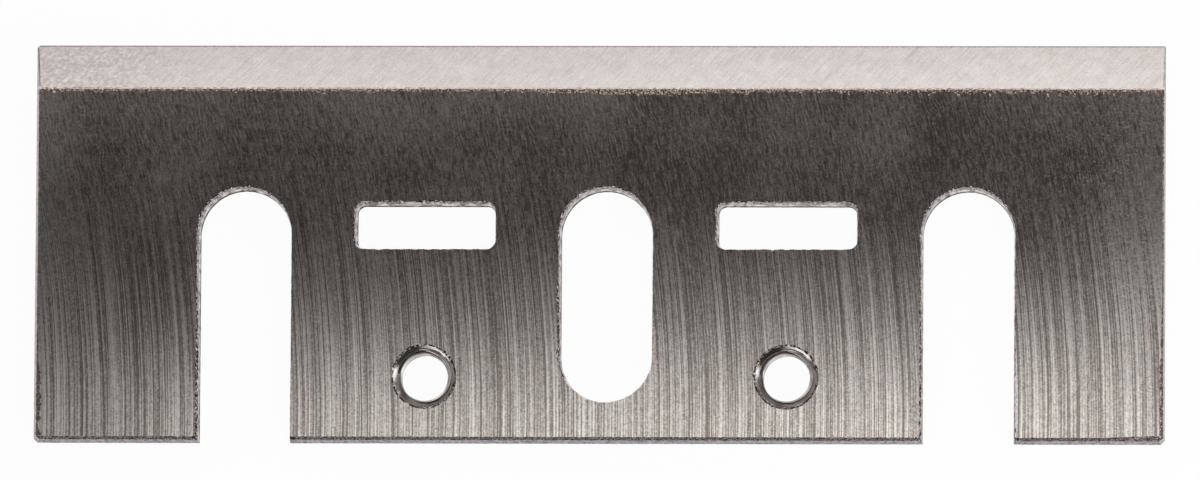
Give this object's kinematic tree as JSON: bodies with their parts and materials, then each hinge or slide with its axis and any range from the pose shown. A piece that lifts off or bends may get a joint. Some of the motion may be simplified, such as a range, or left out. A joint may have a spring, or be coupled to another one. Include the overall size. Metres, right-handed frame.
{
  "type": "planer knife",
  "caption": "Flat tool steel knife for a hand-held planer, with a ground bevel along one long edge, punched clamp slots and windows, and tapped holes for setting screws.",
  "frame": {"origin": "on the flat back face, under the middle of the blade", "axes": "+X along the cutting edge, +Y from the rear edge towards the cutting edge, +Z from the flat back face up through the bevelled side; it lies flat on its back face"},
  "size_m": [0.082, 0.029, 0.003],
  "materials": {
    "ground_steel": "surface ground across the blade, fine ground bevel"
  },
  "bodies": {
    "root": {"planer_knife": "ground_steel"}
  },
  "joints": []
}
